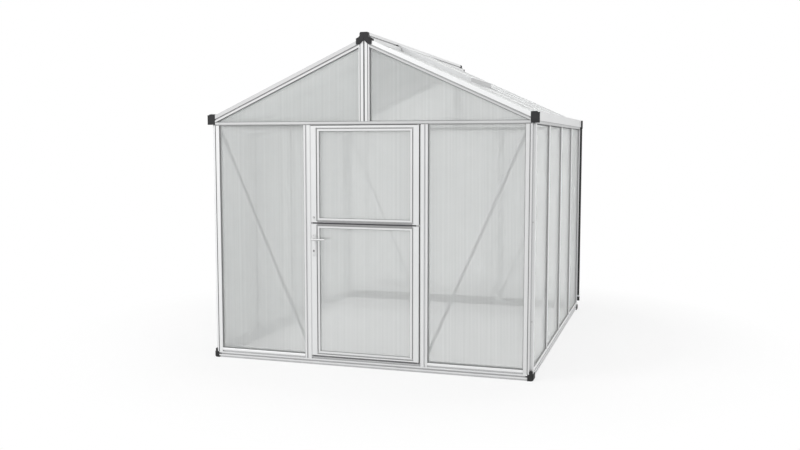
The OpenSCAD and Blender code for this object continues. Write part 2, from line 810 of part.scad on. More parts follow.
module vent_curb() color(alu) centred() {
    along_y(vent_bay[0] + bar_body_w/2, vent_bay[1] - bar_body_w/2) polygon([
        roof_at(curb_x0, 0), roof_at(vent_x1, 0), roof_at(vent_x1, cap_up),
        roof_at(curb_slot, cap_up), roof_at(curb_slot, roof_pane_low),
        roof_at(vent_x1, roof_pane_low), roof_at(vent_x1, body_low), roof_at(curb_x0, body_low)]);
}

// The upper rail lies on the flange of the ridge and ends at its hinge slot
module vent_frame() color(alu) centred() {
    difference() {
        slope([vent_x0, vent_x1], [-vent_h, -slip], [vent_y0, vent_y1]);
        slope([vent_x0 + vent_member, vent_x1 - vent_member], [-vent_h - 1, 1],
            [vent_y0 + vent_member, vent_y1 - vent_member]);
    }
    along_y(vent_y0, vent_y1) polygon([
        [vent_rail_x0, flange_z(vent_rail_x0) + slip], [ridge_half, flange_z(ridge_half) + slip],
        [vent_x0 + weld, flange_z(ridge_half) + slip], roof_at(vent_x0 + weld, -vent_h),
        roof_at(vent_rail_x0, -vent_h)]);
}

module vent_pane() color(clear) centred()
    slope([vent_x0 + vent_member, vent_x1 - vent_member], [vent_sink - vent_h, vent_sink - vent_h + pane_up],
        [vent_y0 + vent_member, vent_y1 - vent_member]);

// Diagonal braces on the inner faces of the corner and door posts

module brace() {
    top = [half - frame_t - brace_w/2, eave_z - brace_w];
    foot = [jamb + brace_w, sill_flange_z];
    run = top - foot;
    along_y(frame_t, frame_t + brace_t) translate(foot) rotate(atan2(run[1], run[0]))
        translate([0, -brace_w/2]) square([norm(run), brace_w]);
}

module wall_braces() color(alu) centred() both_sides() {
    brace();
    at_back() brace();
}

// Door leaves, split at half height and hung on pins at the right-hand post

module ring(x, y, z, a, b) difference() {
    block([x[0] + a[0], x[1] - a[0]], y, [z[0] + a[1], z[1] - a[2]]);
    block([x[0] + b[0], x[1] - b[0]], [y[0] - 1, y[1] + 1], [z[0] + b[1], z[1] - b[2]]);
}

// Insets of a leaf's frame at stiles, bottom rail and top rail
function leaf_face(bottom, top) = [stile_face, bottom, top];
function widen(f, d) = [f[0] + d, f[1] + d, f[2] + d];

module leaf_frame(z, face) {
    x = [leaf_x0, leaf_x1];
    slot = widen(face, leaf_groove/2);
    bead0 = widen(face, leaf_groove);
    bead1 = widen(bead0, leaf_bead);
    flange = widen(slot, flange_lap);
    ring(x, [0, leaf_t], z, [0, 0, 0], face);
    ring(x, [groove_t, pane_v0], z, face, bead0);
    ring(x, [pane_v0, pane_v1], z, face, slot);
    ring(x, [pane_v1, leaf_t], z, face, flange);
    ring(x, [1, pane_v0], z, bead0, bead1);
}

module leaf_pane(z, face) {
    slot = widen(face, leaf_groove/2);
    block([leaf_x0 + slot[0], leaf_x1 - slot[0]], [pane_v0, pane_v1], [z[0] + slot[1], z[1] - slot[2]]);
}

module pivot_bores(z) for (end = [z[0] - 1, z[1] - pivot_l - 1])
    translate([pivot_x, pivot_y, end]) cylinder(d = pivot_d + 2*running_gap, h = pivot_l + 2);

// Outline of the key cylinder, round above and narrow below
module key_outline(gap) {
    circle(d = key_d + 2*gap);
    translate([-key_foot_w/2 - gap, -key_foot_l - gap]) square([key_foot_w + 2*gap, key_foot_l]);
}

module through_lock(y, z)
    translate([lock_x, y[1], z]) rotate([90, 0, 0]) linear_extrude(y[1] - y[0]) children();

module lower_leaf_frame() color(alu) centred() difference() {
    leaf_frame([leaf_z0, lower_z1], leaf_face(lower_bottom_face, lower_top_face));
    pivot_bores([leaf_z0, lower_z1]);
    through_lock([-1, leaf_t + 1], lever_z) circle(d = spindle_d + 2*running_gap);
    through_lock([-1, leaf_t + 1], key_z) key_outline(key_gap);
}

module lower_leaf_pane() color(clear) centred()
    leaf_pane([leaf_z0, lower_z1], leaf_face(lower_bottom_face, lower_top_face));

module upper_leaf_frame() color(alu) centred() difference() {
    leaf_frame([upper_z0, upper_z1], leaf_face(upper_bottom_face, upper_top_face));
    pivot_bores([upper_z0, upper_z1]);
}

module upper_leaf_pane() color(clear) centred()
    leaf_pane([upper_z0, upper_z1], leaf_face(upper_bottom_face, upper_top_face));

module leaf_bolt() color(black) centred() translate([lock_x, 0, upper_z0 + coupler_rise]) rotate([90, 0, 0]) {
    cylinder(d = coupler_foot_d, h = coupler_foot_t);
    cylinder(d = coupler_d, h = coupler_l);
}

// Pins of the leaves: under the tie rail, on a plate in the split, and on the threshold

module pivot_pin(z0, z1) translate([pivot_x, pivot_y, z0]) cylinder(d = pivot_d, h = z1 - z0);

module hinge_pivots() color(steel) centred() {
    plate_half = split_h/6;
    pivot_pin(upper_z1 - pivot_l, eave_z);
    block([pivot_x - pivot_inset, jamb], [bead_chamfer, pivot_y*2 - bead_chamfer],
        [split_z - plate_half, split_z + plate_half]);
    pivot_pin(lower_z1 - pivot_l, upper_z0 + pivot_l);
    pivot_pin(threshold_z, leaf_z0 + pivot_l);
}

// Lock: plates on both faces, a key cylinder, and levers on one spindle

module lock_plate() difference() {
    block([lock_x - plate_w/2, lock_x + plate_w/2], [-plate_t, 0], [key_z - plate_h/4, key_z + plate_h*3/4]);
    through_lock([-plate_t - 1, 1], lever_z) circle(d = spindle_d + 2*running_gap);
    through_lock([-plate_t - 1, 1], key_z) key_outline(key_gap);
}

module lock_plates() color(steel) centred() {
    lock_plate();
    translate([0, leaf_t, 0]) mirror([0, 1, 0]) lock_plate();
}

module lock_cylinder() color(steel) centred() difference() {
    face = -plate_t - key_proud;
    through_lock([face, leaf_t - face], key_z) key_outline(0);
    for (y = [face - 1, leaf_t - face - key_slot_t])
        block([lock_x - key_slot_w/2, lock_x + key_slot_w/2], [y, y + key_slot_t + 1],
            [key_z - key_slot_h/2, key_z + key_slot_h/2]);
}

module lever_arm() {
    foot = plate_t + rose_gap;
    translate([lock_x, -foot, lever_z]) rotate([90, 0, 0]) cylinder(d = rose_d, h = rose_t);
    translate([lock_x, -foot, lever_z]) rotate([90, 0, 0]) cylinder(d = lever_d, h = lever_off - foot);
    translate([lock_x, -lever_off, lever_z]) sphere(d = lever_d);
    translate([lock_x, -lever_off, lever_z]) rotate([0, 90, 0]) cylinder(d = lever_d, h = lever_l);
    translate([lock_x + lever_l, -lever_off, lever_z]) sphere(d = lever_d);
}

module lever_handle() color(steel) centred() {
    lever_arm();
    translate([0, leaf_t, 0]) mirror([0, 1, 0]) lever_arm();
    through_lock([-plate_t - rose_t, leaf_t + plate_t + rose_t], lever_z) circle(d = spindle_d);
}

base_ends();
base_sides();
base_corner_caps();
corner_posts();
door_posts();
back_mullions();
left_wall_bars();
right_wall_bars();
end_sills();
side_sills();
threshold();
eave_rails();
tie_rails();
gable_rafters();
gable_posts();
left_roof_bars();
right_roof_bars();
ridge();
ridge_caps();
left_gutter();
right_gutter();
gutter_caps();
gutter_outlets();
downpipes();
pipe_clips();
front_wall_panes();
back_wall_panes();
left_wall_panes();
right_wall_panes();
gable_panes();
left_roof_panes();
right_roof_panes();
vent_curb();
vent_frame();
vent_pane();
wall_braces();
hinge_pivots();
lower_leaf_frame();
lower_leaf_pane();
lock_plates();
lock_cylinder();
lever_handle();
upper_leaf_frame();
upper_leaf_pane();
leaf_bolt();
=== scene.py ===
import math

import bpy
from mathutils import Matrix, Vector


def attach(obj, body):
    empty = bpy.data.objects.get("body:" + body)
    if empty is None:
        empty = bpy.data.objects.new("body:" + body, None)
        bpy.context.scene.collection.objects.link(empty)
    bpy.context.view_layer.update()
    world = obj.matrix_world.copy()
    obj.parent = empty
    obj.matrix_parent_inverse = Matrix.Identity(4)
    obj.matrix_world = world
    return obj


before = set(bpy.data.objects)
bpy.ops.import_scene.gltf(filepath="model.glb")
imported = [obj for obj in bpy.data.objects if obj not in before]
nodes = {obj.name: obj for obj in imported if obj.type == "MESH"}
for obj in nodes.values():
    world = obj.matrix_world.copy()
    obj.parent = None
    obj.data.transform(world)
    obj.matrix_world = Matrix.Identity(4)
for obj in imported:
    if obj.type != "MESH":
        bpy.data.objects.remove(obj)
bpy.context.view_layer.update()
print("frame loaded:", len(nodes), "nodes")


# small helpers

sharpAngle = math.radians(35)  # edges bent more than this are softened
squareOn = 0.9  # how squarely a face looks along an axis when it is picked for it


def deselectAll():
    if bpy.context.object and bpy.context.object.mode != "OBJECT":
        bpy.ops.object.mode_set(mode="OBJECT")
    bpy.ops.object.select_all(action="DESELECT")


def makeActive(obj):
    deselectAll()
    obj.select_set(True)
    bpy.context.view_layer.objects.active = obj


def applyPlace(obj):
    makeActive(obj)
    bpy.ops.object.transform_apply(location=True, rotation=True, scale=True)


def applyModifiers(obj):
    makeActive(obj)
    for modifier in list(obj.modifiers):
        bpy.ops.object.modifier_apply(modifier=modifier.name)


def addBox(name, low, high):
    deselectAll()
    centre = [(a + b) / 2 for a, b in zip(low, high)]
    bpy.ops.mesh.primitive_cube_add(size=1, location=centre)
    obj = bpy.context.object
    obj.name = name
    obj.scale = [b - a for a, b in zip(low, high)]
    applyPlace(obj)
    return obj


def selectFaces(obj, wanted):
    makeActive(obj)
    bpy.ops.object.mode_set(mode="EDIT")
    bpy.ops.mesh.select_mode(type="FACE")
    bpy.ops.mesh.select_all(action="DESELECT")
    bpy.ops.object.mode_set(mode="OBJECT")
    for face in obj.data.polygons:
        face.select = wanted(face)
    bpy.ops.object.mode_set(mode="EDIT")


def leaveEdit():
    bpy.ops.object.mode_set(mode="OBJECT")


def trimPiece(obj, point, normal):  # takes off what lies on the normal's side of a plane
    makeActive(obj)
    bpy.ops.object.mode_set(mode="EDIT")
    bpy.ops.mesh.select_all(action="SELECT")
    bpy.ops.mesh.bisect(plane_co=point, plane_no=normal, use_fill=True, clear_outer=True)
    leaveEdit()


def softenEdges(obj, width, segments=2):
    bevel = obj.modifiers.new("soften", "BEVEL")
    bevel.width = width
    bevel.segments = segments
    bevel.limit_method = "ANGLE"
    bevel.angle_limit = sharpAngle
    applyModifiers(obj)


def placedCopy(source, name, matrix):
    copy = bpy.data.objects.new(name, source.data.copy())
    bpy.context.scene.collection.objects.link(copy)
    copy.data.transform(matrix)
    return copy


def joinPieces(pieces, name):
    deselectAll()
    for piece in pieces:
        piece.select_set(True)
    bpy.context.view_layer.objects.active = pieces[0]
    bpy.ops.object.join()
    joined = bpy.context.object
    joined.name = name
    joined.data.name = name
    return joined


def dress(obj, material, body):
    obj.data.materials.clear()
    obj.data.materials.append(material)
    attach(obj, body)


# shader groups

def newGroup(name, inputs, outputs):
    group = bpy.data.node_groups.new(name, "ShaderNodeTree")
    for label, kind, value in inputs:
        socket = group.interface.new_socket(label, in_out="INPUT", socket_type=kind)
        socket.default_value = value
    for label in outputs:
        group.interface.new_socket(label, in_out="OUTPUT", socket_type="NodeSocketFloat")
    return group, group.nodes.new("NodeGroupInput"), group.nodes.new("NodeGroupOutput")


def feed(tree, value, socket):  # a number is set, an output is linked
    if isinstance(value, (int, float)):
        socket.default_value = value
    else:
        tree.links.new(value, socket)


def mathNode(tree, operation, first, second=None):
    node = tree.nodes.new("ShaderNodeMath")
    node.operation = operation
    feed(tree, first, node.inputs[0])
    if second is not None:
        feed(tree, second, node.inputs[1])
    return node.outputs[0]


def noiseNode(tree, vector, scale, detail):
    noise = tree.nodes.new("ShaderNodeTexNoise")
    noise.inputs["Detail"].default_value = detail
    feed(tree, scale, noise.inputs["Scale"])
    tree.links.new(vector, noise.inputs["Vector"])
    return noise.outputs["Fac"]


profileLook = {"stretch": (900.0, 900.0, 4.0), "cloudScale": 3.0, "lineDetail": 2.0, "cloudDetail": 4.0}


def makeProfileGrain():  # die lines along an extrusion, and cloudy handling marks
    group, given, result = newGroup(
        "profileGrain",
        [("Stretch", "NodeSocketVector", profileLook["stretch"]),
         ("Cloud Scale", "NodeSocketFloat", profileLook["cloudScale"])],
        ["Lines", "Clouds"])
    coords = group.nodes.new("ShaderNodeTexCoord").outputs["Object"]
    stretch = group.nodes.new("ShaderNodeVectorMath")
    stretch.operation = "MULTIPLY"
    group.links.new(coords, stretch.inputs[0])
    group.links.new(given.outputs["Stretch"], stretch.inputs[1])
    lines = noiseNode(group, stretch.outputs[0], 1.0, profileLook["lineDetail"])
    clouds = noiseNode(group, coords, given.outputs["Cloud Scale"], profileLook["cloudDetail"])
    group.links.new(lines, result.inputs["Lines"])
    group.links.new(clouds, result.inputs["Clouds"])
    return group


ribLook = {"pitch": 0.0105, "ribWidth": 0.16, "streakScale": 55.0, "mistScale": 1.6, "detail": 3.0}


def makeSheetRibs():  # thin ribs between the two skins of a sheet, and faint streaks beside them
    group, given, result = newGroup(
        "sheetRibs",
        [("Across", "NodeSocketVector", (1.0, 0.0, 0.0)),
         ("Pitch", "NodeSocketFloat", ribLook["pitch"]),
         ("Rib Width", "NodeSocketFloat", ribLook["ribWidth"])],
        ["Ribs", "Streaks", "Mist"])
    coords = group.nodes.new("ShaderNodeTexCoord").outputs["Object"]
    across = group.nodes.new("ShaderNodeVectorMath")
    across.operation = "DOT_PRODUCT"
    group.links.new(coords, across.inputs[0])
    group.links.new(given.outputs["Across"], across.inputs[1])
    run = mathNode(group, "DIVIDE", across.outputs["Value"], given.outputs["Pitch"])
    saw = mathNode(group, "FRACT", run)
    fold = mathNode(group, "ABSOLUTE", mathNode(group, "SUBTRACT", saw, 0.5))
    ribs = group.nodes.new("ShaderNodeMapRange")
    ribs.interpolation_type = "SMOOTHSTEP"
    ribs.inputs["From Min"].default_value = 0.0
    ribs.inputs["To Min"].default_value = 1.0
    ribs.inputs["To Max"].default_value = 0.0
    group.links.new(fold, ribs.inputs["Value"])
    group.links.new(given.outputs["Rib Width"], ribs.inputs["From Max"])
    streaks = group.nodes.new("ShaderNodeTexNoise")
    streaks.noise_dimensions = "1D"
    streaks.inputs["Scale"].default_value = ribLook["streakScale"]
    streaks.inputs["Detail"].default_value = ribLook["detail"]
    group.links.new(across.outputs["Value"], streaks.inputs["W"])
    mist = noiseNode(group, coords, ribLook["mistScale"], ribLook["detail"])
    group.links.new(ribs.outputs["Result"], result.inputs["Ribs"])
    group.links.new(streaks.outputs["Fac"], result.inputs["Streaks"])
    group.links.new(mist, result.inputs["Mist"])
    return group


mouldLook = {"pebbleScale": 1400.0, "cloudScale": 22.0, "cloudDetail": 4.0}


def makeMouldGrain():  # fine pebbled grain of moulded plastic
    group, given, result = newGroup(
        "mouldGrain", [("Scale", "NodeSocketFloat", mouldLook["pebbleScale"])], ["Pebbles", "Clouds"])
    coords = group.nodes.new("ShaderNodeTexCoord").outputs["Object"]
    pebbles = group.nodes.new("ShaderNodeTexVoronoi")
    group.links.new(coords, pebbles.inputs["Vector"])
    group.links.new(given.outputs["Scale"], pebbles.inputs["Scale"])
    clouds = noiseNode(group, coords, mouldLook["cloudScale"], mouldLook["cloudDetail"])
    group.links.new(pebbles.outputs["Distance"], result.inputs["Pebbles"])
    group.links.new(clouds, result.inputs["Clouds"])
    return group


profileGrain = makeProfileGrain()
sheetRibs = makeSheetRibs()
mouldGrain = makeMouldGrain()


# materials

def startMaterial(name, group):
    material = bpy.data.materials.new(name)
    material.use_nodes = True
    tree = material.node_tree
    shader = tree.nodes["Principled BSDF"]
    effect = tree.nodes.new("ShaderNodeGroup")
    effect.node_tree = group
    return material, tree, shader, effect


def blendColours(tree, factor, first, second, socket=None):
    mix = tree.nodes.new("ShaderNodeMix")
    mix.data_type = "RGBA"
    mix.inputs["A"].default_value = (*first, 1)
    mix.inputs["B"].default_value = (*second, 1)
    tree.links.new(factor, mix.inputs["Factor"])
    if socket is not None:
        tree.links.new(mix.outputs["Result"], socket)
    return mix.outputs["Result"]


# most of a noise lies between 0.3 and 0.7
def spread(tree, value, low, high, fromLow=0.3, fromHigh=0.7, socket=None):
    span = tree.nodes.new("ShaderNodeMapRange")
    span.inputs["From Min"].default_value = fromLow
    span.inputs["From Max"].default_value = fromHigh
    span.inputs["To Min"].default_value = low
    span.inputs["To Max"].default_value = high
    tree.links.new(value, span.inputs["Value"])
    if socket is not None:
        tree.links.new(span.outputs["Result"], socket)
    return span.outputs["Result"]


def addBump(tree, height, strength, distance, shader):
    bump = tree.nodes.new("ShaderNodeBump")
    bump.inputs["Strength"].default_value = strength
    bump.inputs["Distance"].default_value = distance
    tree.links.new(height, bump.inputs["Height"])
    tree.links.new(bump.outputs["Normal"], shader.inputs["Normal"])


def placeParts(tree):
    coords = tree.nodes.new("ShaderNodeTexCoord")
    apart = tree.nodes.new("ShaderNodeSeparateXYZ")
    tree.links.new(coords.outputs["Object"], apart.inputs[0])
    return apart.outputs


def scaleColour(tree, colour, factor):
    scale = tree.nodes.new("ShaderNodeVectorMath")
    scale.operation = "SCALE"
    tree.links.new(colour, scale.inputs[0])
    tree.links.new(factor, scale.inputs["Scale"])
    return scale.outputs[0]


roofPitch = math.radians(24.4)
middle = (-0.05, 0.05)  # where the left half of the house gives way to the right one

verge = {
    "edge": 2.4583,          # height of the groove under the band, carried to the middle of the roof
    "soft": 0.003,
    "left": (1.0, 0.88),     # brightness of the bead and of the band
    "right": (0.86, 1.22),   # painted light: the right verge band is painted brighter
}


# painted light: bead and band of each verge, and the right verge against the left, are painted lighter
# or darker
def paintVergeLight(tree, colour):
    parts = placeParts(tree)
    rise = mathNode(tree, "MULTIPLY", mathNode(tree, "ABSOLUTE", parts["X"]), math.tan(roofPitch))
    height = mathNode(tree, "ADD", rise, parts["Z"])
    edges = (verge["edge"] - verge["soft"], verge["edge"] + verge["soft"])
    left = spread(tree, height, *verge["left"], *edges)
    right = spread(tree, height, *verge["right"], *edges)
    side = spread(tree, parts["X"], 0.0, 1.0, *middle)
    gain = mathNode(tree, "MULTIPLY", mathNode(tree, "SUBTRACT", right, left), side)
    return scaleColour(tree, colour, mathNode(tree, "ADD", left, gain))


def paintSideLight(left, right):  # painted light: the left and the right half of the house are painted at different brightness
    def paintedLight(tree, colour):
        return scaleColour(tree, colour, spread(tree, placeParts(tree)["X"], left, right, *middle))
    return paintedLight


ventLowerShade = {"shade": 0.7, "from": (0.644, 0.647)}  # painted shade on the lower face, which faces down the slope


def paintVentShade(tree, colour):
    shade = spread(tree, placeParts(tree)["X"], 1.0, ventLowerShade["shade"], *ventLowerShade["from"])
    return scaleColour(tree, colour, shade)


roomSide = {"edge": 1.472, "soft": 0.004}  # metres from the middle of the object, front and back


def paintRoomSideShade(tree, colour, roomShade):  # painted shade: the side towards the room is painted darker
    depth = mathNode(tree, "ABSOLUTE", placeParts(tree)["Y"])
    edges = (roomSide["edge"] - roomSide["soft"], roomSide["edge"] + roomSide["soft"])
    mix = tree.nodes.new("ShaderNodeMix")
    mix.data_type = "RGBA"
    mix.inputs["A"].default_value = (roomShade, roomShade, roomShade, 1)
    tree.links.new(colour, mix.inputs["B"])
    spread(tree, depth, 0.0, 1.0, *edges, socket=mix.inputs["Factor"])
    return mix.outputs["Result"]


aluminium = {
    "light": (0.86, 0.865, 0.865),
    "dark": (0.77, 0.775, 0.78),
    "metallic": 0.35,
    "roughness": (0.34, 0.48),
    "along": 3.0,       # grain frequency along the profile
    "across": 700.0,    # and across it
    "bump": (0.12, 0.0004),
    # colour of the painted shade in grooves and corners
    "grooveShade": (0.36, 0.36, 0.365),
    "reach": 0.016,     # how wide a groove still takes the painted shade, in metres
    "openness": (0.25, 0.85),
    "samples": 8,
}


def addGrooveShade(tree, colour, grooveShade, socket):  # painted shade: darker in grooves and corners, found by occlusion
    hollow = tree.nodes.new("ShaderNodeAmbientOcclusion")
    hollow.samples = aluminium["samples"]
    hollow.inputs["Distance"].default_value = aluminium["reach"]
    mix = tree.nodes.new("ShaderNodeMix")
    mix.data_type = "RGBA"
    mix.inputs["A"].default_value = (*grooveShade, 1)
    tree.links.new(colour, mix.inputs["B"])
    spread(tree, hollow.outputs["AO"], 0.0, 1.0, *aluminium["openness"], socket=mix.inputs["Factor"])
    tree.links.new(mix.outputs["Result"], socket)


def makeAluminium(name, axis, shade=1.0, inner=None, grooveLift=1.0, paintedLight=None):
    material, tree, shader, grain = startMaterial(name, profileGrain)
    stretch = [aluminium["across"]] * 3
    stretch[axis] = aluminium["along"]
    grain.inputs["Stretch"].default_value = stretch
    light = [c * shade for c in aluminium["light"]]
    dark = [c * shade for c in aluminium["dark"]]
    colour = blendColours(tree, grain.outputs["Clouds"], light, dark)
    # inner: painted shade on the faces towards the room
    if inner is not None:
        colour = paintRoomSideShade(tree, colour, inner)
    # painted light or shade laid over the colour
    if paintedLight:
        colour = paintedLight(tree, colour)
    # painted shade colour for the grooves; grooveLift above one lightens it
    grooveShade = [c * shade * grooveLift for c in aluminium["grooveShade"]]
    addGrooveShade(tree, colour, grooveShade, shader.inputs["Base Color"])
    spread(tree, grain.outputs["Lines"], *aluminium["roughness"], socket=shader.inputs["Roughness"])
    shader.inputs["Metallic"].default_value = aluminium["metallic"]
    addBump(tree, grain.outputs["Lines"], *aluminium["bump"], shader)
    return material


twinWall = {
    "light": (0.845, 0.86, 0.855),
    "dark": (0.775, 0.79, 0.785),
    "alpha": (0.53, 0.62),     # opacity of one skin between the ribs and on them
    "mist": (-0.02, 0.03),     # and how much it varies over a sheet
    "roughness": 0.32,
    "ior": 1.2,
    "transmission": 0.5,
    "bump": 0.12,
    "bumpDepth": 0.0005,
    "streak": 1.0,
    "leftShade": 0.89,             # painted shade: panes towards the latch side are painted darker
    "leftShadeFrom": (-1.0, -0.3),
    "leftShadeMist": 0.13,         # and let less through
}

roofSkin = {
    "alpha": (0.835, 0.845),
    "transmission": 0.3,
    "bump": None,
    "streak": 0.2,
    "flat": (0.88, 0.95),      # how far from face-on a sheet starts to close, and is closed
}


# painted shade: darker and less see-through towards the latch side
def paintPaneShade(tree, colour, alpha):
    across = placeParts(tree)["X"]
    fade = spread(tree, across, twinWall["leftShade"], 1.0, *twinWall["leftShadeFrom"])
    mist = spread(tree, across, twinWall["leftShadeMist"], 0.0, *twinWall["leftShadeFrom"])
    return scaleColour(tree, colour, fade), mathNode(tree, "ADD", alpha, mist)


def closeWhenFlat(tree, alpha, flat):  # seen along its face a sheet hides what is behind it
    weight = tree.nodes.new("ShaderNodeLayerWeight")
    closed = spread(tree, weight.outputs["Facing"], 0.0, 1.0, *flat)
    return mathNode(tree, "MAXIMUM", alpha, closed)


def makeTwinWall(name, across, lift=1.0, skin=twinWall, shadedPanes=False, paintedLight=None):
    material, tree, shader, ribs = startMaterial(name, sheetRibs)
    ribs.inputs["Across"].default_value = across
    light = [c * lift for c in twinWall["light"]]
    dark = [c * lift for c in twinWall["dark"]]
    streak = spread(tree, ribs.outputs["Streaks"], 0.0, skin["streak"])
    colour = blendColours(tree, streak, light, dark)
    edge = spread(tree, ribs.outputs["Ribs"], *skin["alpha"], 0.0, 1.0)
    alpha = mathNode(tree, "ADD", edge, spread(tree, ribs.outputs["Mist"], *twinWall["mist"]))
    if shadedPanes:
        colour, alpha = paintPaneShade(tree, colour, alpha)
    if paintedLight:
        colour = paintedLight(tree, colour)
    if "flat" in skin:
        alpha = closeWhenFlat(tree, alpha, skin["flat"])
    tree.links.new(colour, shader.inputs["Base Color"])
    tree.links.new(alpha, shader.inputs["Alpha"])
    shader.inputs["Roughness"].default_value = twinWall["roughness"]
    shader.inputs["IOR"].default_value = twinWall["ior"]
    shader.inputs["Transmission Weight"].default_value = skin["transmission"]
    if skin["bump"]:
        addBump(tree, ribs.outputs["Ribs"], skin["bump"], skin["bumpDepth"], shader)
    return material


plasticBump = (0.2, 0.0002)


def makePlastic(name, light, dark, roughness):
    material, tree, shader, grain = startMaterial(name, mouldGrain)
    blendColours(tree, grain.outputs["Clouds"], light, dark, shader.inputs["Base Color"])
    spread(tree, grain.outputs["Clouds"], *roughness, socket=shader.inputs["Roughness"])
    addBump(tree, grain.outputs["Pebbles"], *plasticBump, shader)
    return material


steel = {
    "along": 12.0,
    "across": 1600.0,
    "cloudScale": 40.0,
    "roughness": (0.24, 0.42),
    "bump": (0.1, 0.0002),
}


def makeSteel(name, axis, light, dark, metallic):
    material, tree, shader, grain = startMaterial(name, profileGrain)
    stretch = [steel["across"]] * 3
    stretch[axis] = steel["along"]
    grain.inputs["Stretch"].default_value = stretch
    grain.inputs["Cloud Scale"].default_value = steel["cloudScale"]
    blendColours(tree, grain.outputs["Clouds"], light, dark, shader.inputs["Base Color"])
    spread(tree, grain.outputs["Lines"], *steel["roughness"], socket=shader.inputs["Roughness"])
    shader.inputs["Metallic"].default_value = metallic
    addBump(tree, grain.outputs["Lines"], *steel["bump"], shader)
    return material


alongX, alongY, upright = 0, 1, 2
ribsAlongX, ribsAlongY = (1, 0, 0), (0, 1, 0)  # the way from rib to rib

aluX = makeAluminium("aluminiumAlongX", alongX)
aluY = makeAluminium("aluminiumAlongY", alongY)
aluZ = makeAluminium("aluminiumUpright", upright)
# painted shade: braces darker, for the shade they throw on the sheets
aluBraceShaded = makeAluminium("braceAluminium", alongX, 0.8)
# inner sets a painted shade on the faces towards the room
aluEnds = makeAluminium("endRailAluminium", alongX, 0.97, inner=0.14, grooveLift=1.35)
aluSill = makeAluminium("sillAluminium", alongX, 1.12, inner=0.14, grooveLift=1.2)
aluRafter = makeAluminium("rafterAluminium", alongX, 0.93, paintedLight=paintVergeLight)
# painted light: side rails lighter, against the shade on their inner faces
aluSide = makeAluminium("sideRailAluminium", alongY, 1.08, grooveLift=1.7)
aluCorner = makeAluminium("cornerAluminium", upright, 0.99, paintedLight=paintSideLight(1.08, 0.94))
aluGutter = makeAluminium("gutterAluminium", alongY, 0.92)
aluPost = makeAluminium("doorPostAluminium", upright, grooveLift=1.75)
aluLeaf = makeAluminium("leafAluminium", upright, grooveLift=0.8)
# painted shade: eave rails darker, for the shade under the gutter
aluEaveShaded = makeAluminium("eaveAluminium", alongY, 0.66)
aluRoof = makeAluminium("roofBarAluminium", alongX, grooveLift=2.2)
aluTie = makeAluminium("tieRailAluminium", alongX, 0.8, inner=0.07)
aluVent = makeAluminium("ventAluminium", alongY, 0.94, paintedLight=paintVentShade)
wallSheet = makeTwinWall("wallSheet", ribsAlongX)
frontSheet = makeTwinWall("frontSheet", ribsAlongX, shadedPanes=True)
gableSheet = makeTwinWall("gableSheet", ribsAlongX, paintedLight=paintSideLight(1.12, 1.0))
# painted light: side sheets painted brighter, for the light they catch
sideSheet = makeTwinWall("sideSheet", ribsAlongY, 1.1)
roofSheet = makeTwinWall("roofSheet", ribsAlongY, 0.95, roofSkin)
capPlastic = makePlastic("capPlastic", (0.017, 0.017, 0.018), (0.011, 0.011, 0.012), (0.6, 0.75))
pipePlastic = makePlastic("pipePlastic", (0.006, 0.006, 0.0065), (0.004, 0.004, 0.0045), (0.5, 0.64))
brushedSteel = makeSteel("brushedSteel", alongX, (0.66, 0.66, 0.66), (0.52, 0.525, 0.53), 0.85)
leverSteel = makeSteel("leverSteel", alongX, (0.60, 0.60, 0.60), (0.48, 0.485, 0.49), 0.5)
plateSteel = makeSteel("plateSteel", upright, (0.84, 0.845, 0.845), (0.76, 0.765, 0.77), 0.35)
paneRubber = makePlastic("paneRubber", (0.30, 0.30, 0.305), (0.24, 0.24, 0.245), (0.6, 0.75))
lipRubber = makePlastic("lipRubber", (0.40, 0.40, 0.405), (0.34, 0.34, 0.345), (0.6, 0.75))
paleRubber = makePlastic("paleRubber", (0.74, 0.745, 0.745), (0.68, 0.685, 0.685), (0.5, 0.65))
roofRubber = makePlastic("roofRubber", (0.82, 0.825, 0.825), (0.76, 0.765, 0.765), (0.5, 0.65))
# colour of the painted shade strips, and of the split seal
shadeRubber = makePlastic("shadeRubber", (0.10, 0.10, 0.105), (0.075, 0.075, 0.08), (0.6, 0.75))
darkRubber = makePlastic("darkRubber", (0.016, 0.016, 0.017), (0.010, 0.010, 0.011), (0.6, 0.75))

finishes = [
    (aluEnds, "base_ends"),
    (aluSill, "end_sills"),
    (aluTie, "tie_rails"),
    (aluX, "threshold"),
    (aluRafter, "gable_rafters"),
    (aluRoof, "left_roof_bars right_roof_bars"),
    (aluBraceShaded, "wall_braces"),
    (aluY, "ridge"),
    (aluSide, "base_sides side_sills"),
    (aluCorner, "corner_posts"),
    (aluGutter, "left_gutter right_gutter"),
    (aluEaveShaded, "eave_rails"),
    (aluVent, "vent_curb vent_frame"),
    (aluZ, "back_mullions left_wall_bars right_wall_bars gable_posts"),
    (aluPost, "door_posts"),
    (aluLeaf, "lower_leaf_frame upper_leaf_frame"),
    (frontSheet, "front_wall_panes"),
    (wallSheet, "back_wall_panes lower_leaf_pane upper_leaf_pane"),
    (gableSheet, "gable_panes"),
    (sideSheet, "left_wall_panes right_wall_panes"),
    (roofSheet, "left_roof_panes right_roof_panes vent_pane"),
    (capPlastic, "base_corner_caps ridge_caps gutter_caps"),
    (pipePlastic, "downpipes gutter_outlets"),
    (brushedSteel, "pipe_clips hinge_pivots leaf_bolt"),
    (plateSteel, "lock_plates lock_cylinder"),
    (leverSteel, "lever_handle"),
]
for material, names in finishes:
    for name in names.split():
        nodes[name].data.materials.clear()
        nodes[name].data.materials.append(material)
print("finishes on", sum(len(names.split()) for _, names in finishes), "nodes")


# seals, screws and small fittings, measured in millimetres behind the front face as in the part

midY = 1.489  # from the front face of the house to the middle of the object, in metres
houseDepth = 2995
houseHalf = 1278
leafDepth = 32
lockX = -411
